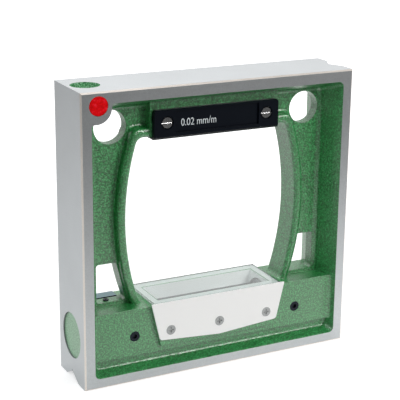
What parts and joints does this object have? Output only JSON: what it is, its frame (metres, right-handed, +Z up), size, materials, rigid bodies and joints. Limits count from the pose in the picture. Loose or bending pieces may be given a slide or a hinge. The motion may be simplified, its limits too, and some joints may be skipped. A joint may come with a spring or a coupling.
{
  "type": "precision machinist level",
  "caption": "Square frame level: ribbed green cast frame with ground outer faces, vee grooves, black grip bar and glazed vial housing across the bottom.",
  "frame": {"origin": "middle of the ground underside", "axes": "+X along the base towards the vee side, +Y through the frame from the front (plate and red seal) to the rear, +Z up"},
  "size_m": [0.3, 0.07, 0.3],
  "materials": {
    "cast_frame": "hammertone green paint, ground steel-grey outer faces",
    "grip": "satin moulded",
    "bright_screw": "polished",
    "plate": "satin",
    "cover_glass": "polished",
    "gasket": "matt",
    "plug": "hammertone",
    "red_seal": "gloss",
    "holder": "turned",
    "ring": "turned",
    "plaster": "matt",
    "vial_glass": "polished",
    "vial_seal": "matt",
    "liquid": "clear yellow-green",
    "bubble": "clear",
    "black_screw": "blackened",
    "spring": "drawn wire"
  },
  "bodies": {
    "frame_body": {"frame": "cast_frame", "grip_front": "grip", "grip_rear": "grip", "grip_screws": "bright_screw", "front_plate": "plate", "plate_screws": "bright_screw", "cover_glass": "cover_glass", "glass_gasket": "gasket", "bore_plug": "plug", "red_seal": "red_seal", "lock_screws": "black_screw", "holder_spring": "spring", "adjuster_strip": "holder"},
    "holder_body": {"vial_holder": "holder", "pivot_ring": "ring", "vial_bed": "plaster", "main_vial": "vial_glass", "cross_vial": "vial_glass", "vial_seals": "vial_seal", "main_liquid": "liquid", "cross_liquid": "liquid"},
    "screw_body": {"adjusting_screw": "black_screw"},
    "main_bubble_body": {"main_bubble": "bubble"},
    "cross_bubble_body": {"cross_bubble": "bubble"}
  },
  "joints": [
    {"name": "screw_turn", "type": "hinge", "parent": "frame_body", "child": "screw_body", "pos_m": [-0.113, 0, 0.0735], "axis": [0, 0, 1], "range_deg": [-100, 100]},
    {"name": "holder_tilt", "type": "hinge", "parent": "frame_body", "child": "holder_body", "pos_m": [0.0932, 0, 0.047], "axis": [0, 1, 0], "range_deg": [-0.0385, 0.0385], "deforming": ["holder_spring"]},
    {"name": "main_bubble_run", "type": "slide", "parent": "holder_body", "child": "main_bubble_body", "axis": [1, 0, 0], "range_m": [-0.02, 0.02]},
    {"name": "cross_bubble_run", "type": "slide", "parent": "holder_body", "child": "cross_bubble_body", "axis": [0, 1, 0], "range_m": [-0.007, 0.007]}
  ],
  "couplings": [
    {"joint": "screw_turn", "follows": "holder_tilt", "ratio": 2590}
  ]
}
